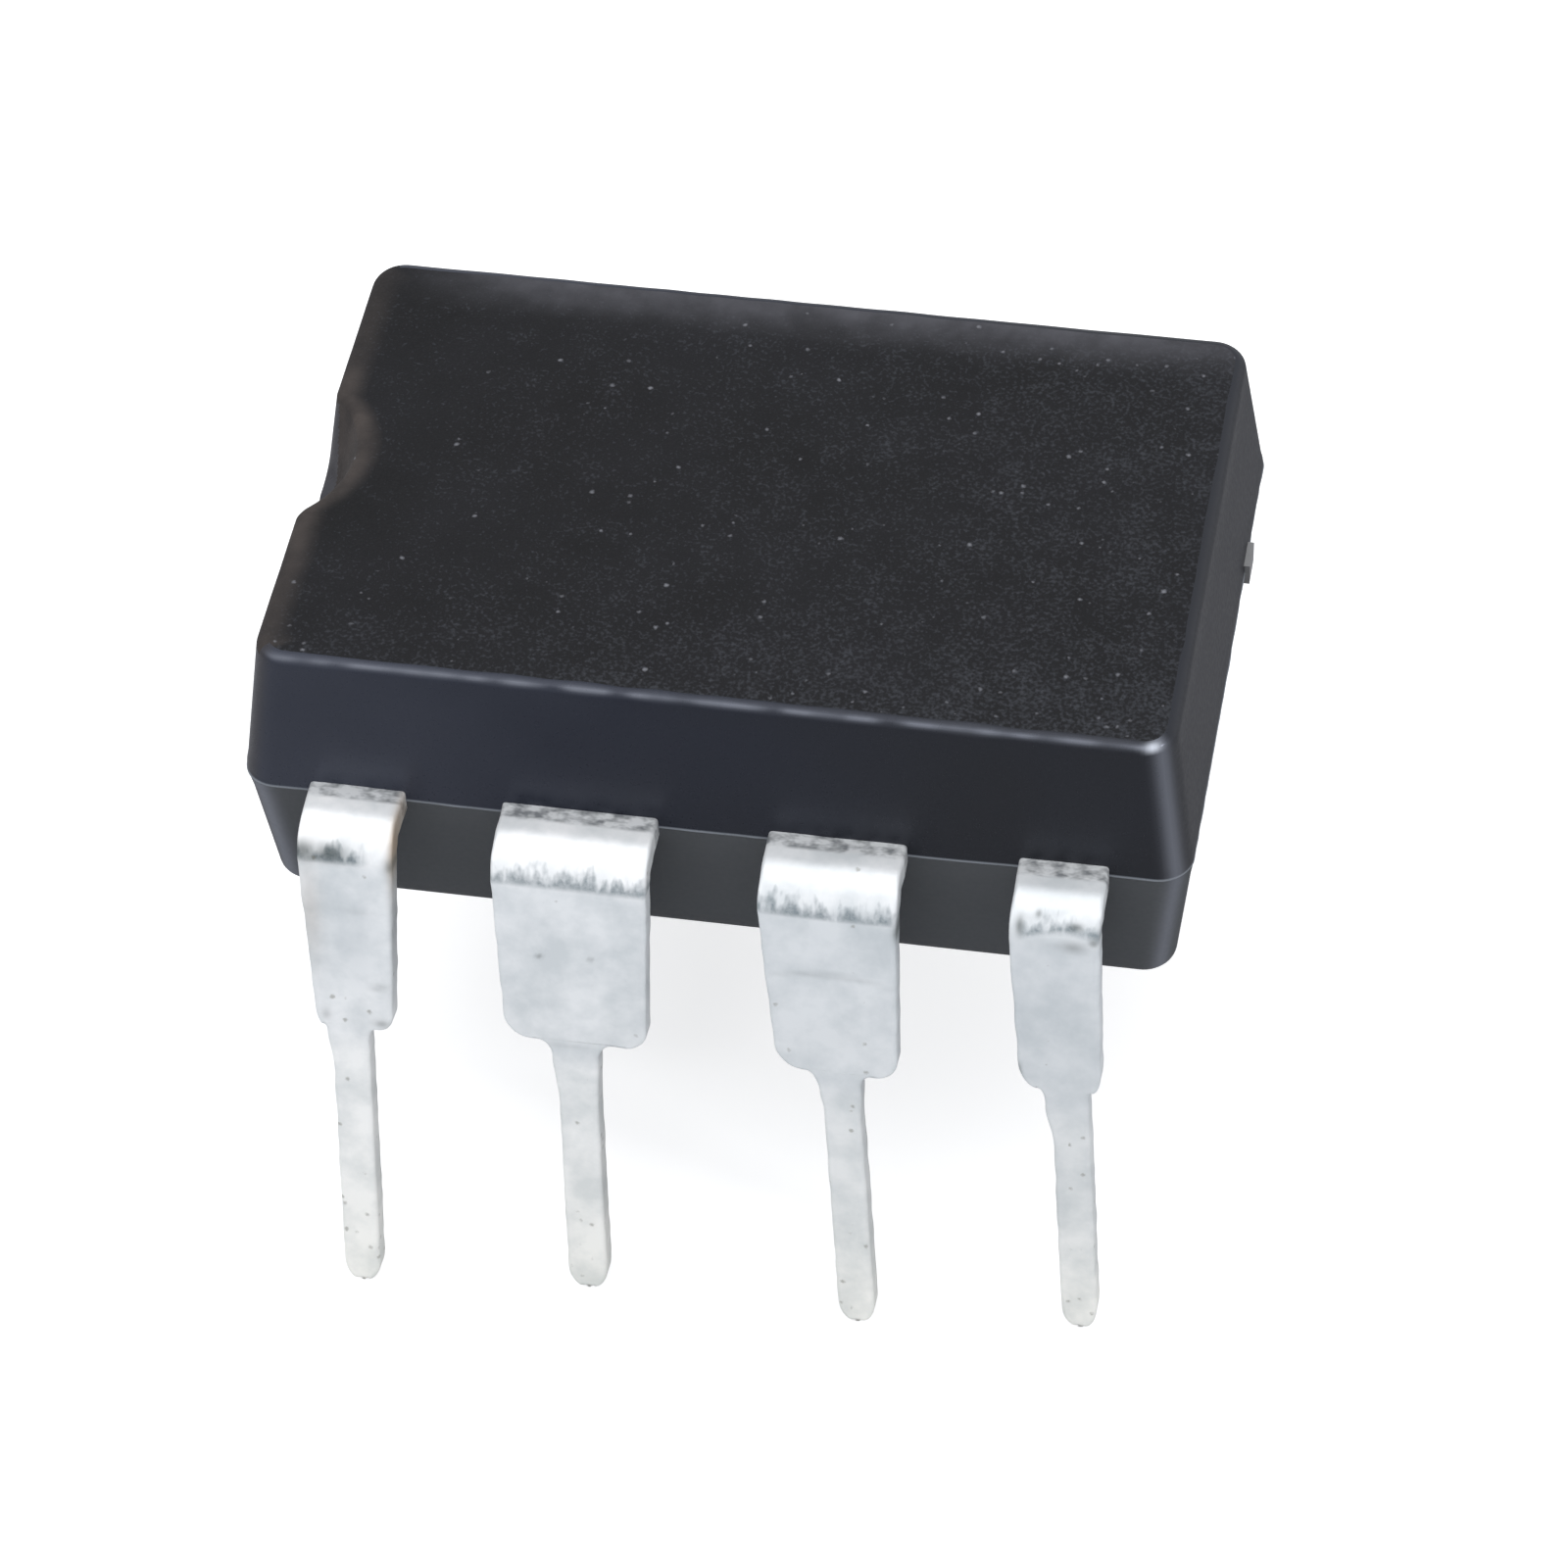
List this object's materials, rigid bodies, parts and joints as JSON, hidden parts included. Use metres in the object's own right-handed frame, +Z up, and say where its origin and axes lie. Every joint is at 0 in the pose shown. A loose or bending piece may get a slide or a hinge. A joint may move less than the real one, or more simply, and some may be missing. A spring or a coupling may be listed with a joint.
{
  "type": "dip integrated circuit chip",
  "caption": "Dual in-line integrated circuit package: black moulded body with an end notch, standing on two rows of formed and splayed tin-plated leads.",
  "frame": {"origin": "on the surface under the lead tips, in the middle of the lead pattern", "axes": "+X along the body away from the notched end, +Y towards the back row of leads (5 to 8), +Z up through the top face"},
  "size_m": [0.0098, 0.01, 0.0071],
  "materials": {
    "mould_compound": "moulded black epoxy compound, fine matte grain on top, smoother side walls",
    "tin_plate": "dull tin plate over stamped copper strip, bright where it is bent",
    "lead_frame_copper": "bare stamped copper alloy",
    "silver_epoxy": "cured silver-filled adhesive",
    "silicon": "polished silicon",
    "gold_wire": "drawn gold wire"
  },
  "bodies": {
    "root": {"package_body": "mould_compound", "lead_1": "tin_plate", "lead_2": "tin_plate", "lead_3": "tin_plate", "lead_4": "tin_plate", "lead_5": "tin_plate", "lead_6": "tin_plate", "lead_7": "tin_plate", "lead_8": "tin_plate", "die_paddle": "lead_frame_copper", "die_attach": "silver_epoxy", "silicon_die": "silicon", "bond_wire_1": "gold_wire", "bond_wire_2": "gold_wire", "bond_wire_3": "gold_wire", "bond_wire_4": "gold_wire", "bond_wire_5": "gold_wire", "bond_wire_6": "gold_wire", "bond_wire_7": "gold_wire", "bond_wire_8": "gold_wire"}
  },
  "joints": []
}
